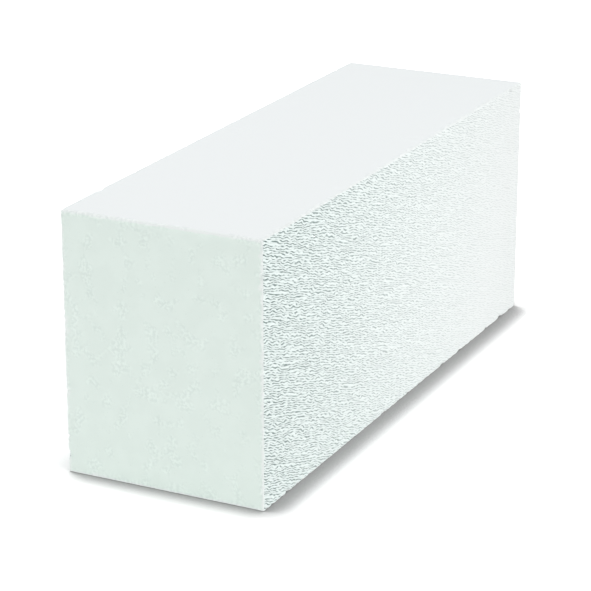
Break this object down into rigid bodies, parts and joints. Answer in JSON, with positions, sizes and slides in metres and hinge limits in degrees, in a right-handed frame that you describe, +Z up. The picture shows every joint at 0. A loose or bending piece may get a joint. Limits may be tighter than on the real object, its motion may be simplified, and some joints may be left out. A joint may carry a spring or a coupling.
{
  "type": "aerated concrete block",
  "caption": "Solid white rectangular block of aerated concrete with crisp arrises, smooth bed and end faces and rippled wire-cut long faces, laid in mortar to build a wall.",
  "frame": {"origin": "middle of the bottom bed face", "axes": "+X along the length, +Y through the thickness, +Z up the height from bed face to bed face"},
  "size_m": [0.6, 0.2, 0.25],
  "materials": {
    "aerated_concrete": "matte, finely pored, with wire-cut ripples on the two long faces"
  },
  "bodies": {
    "root": {"block": "aerated_concrete"}
  },
  "joints": []
}
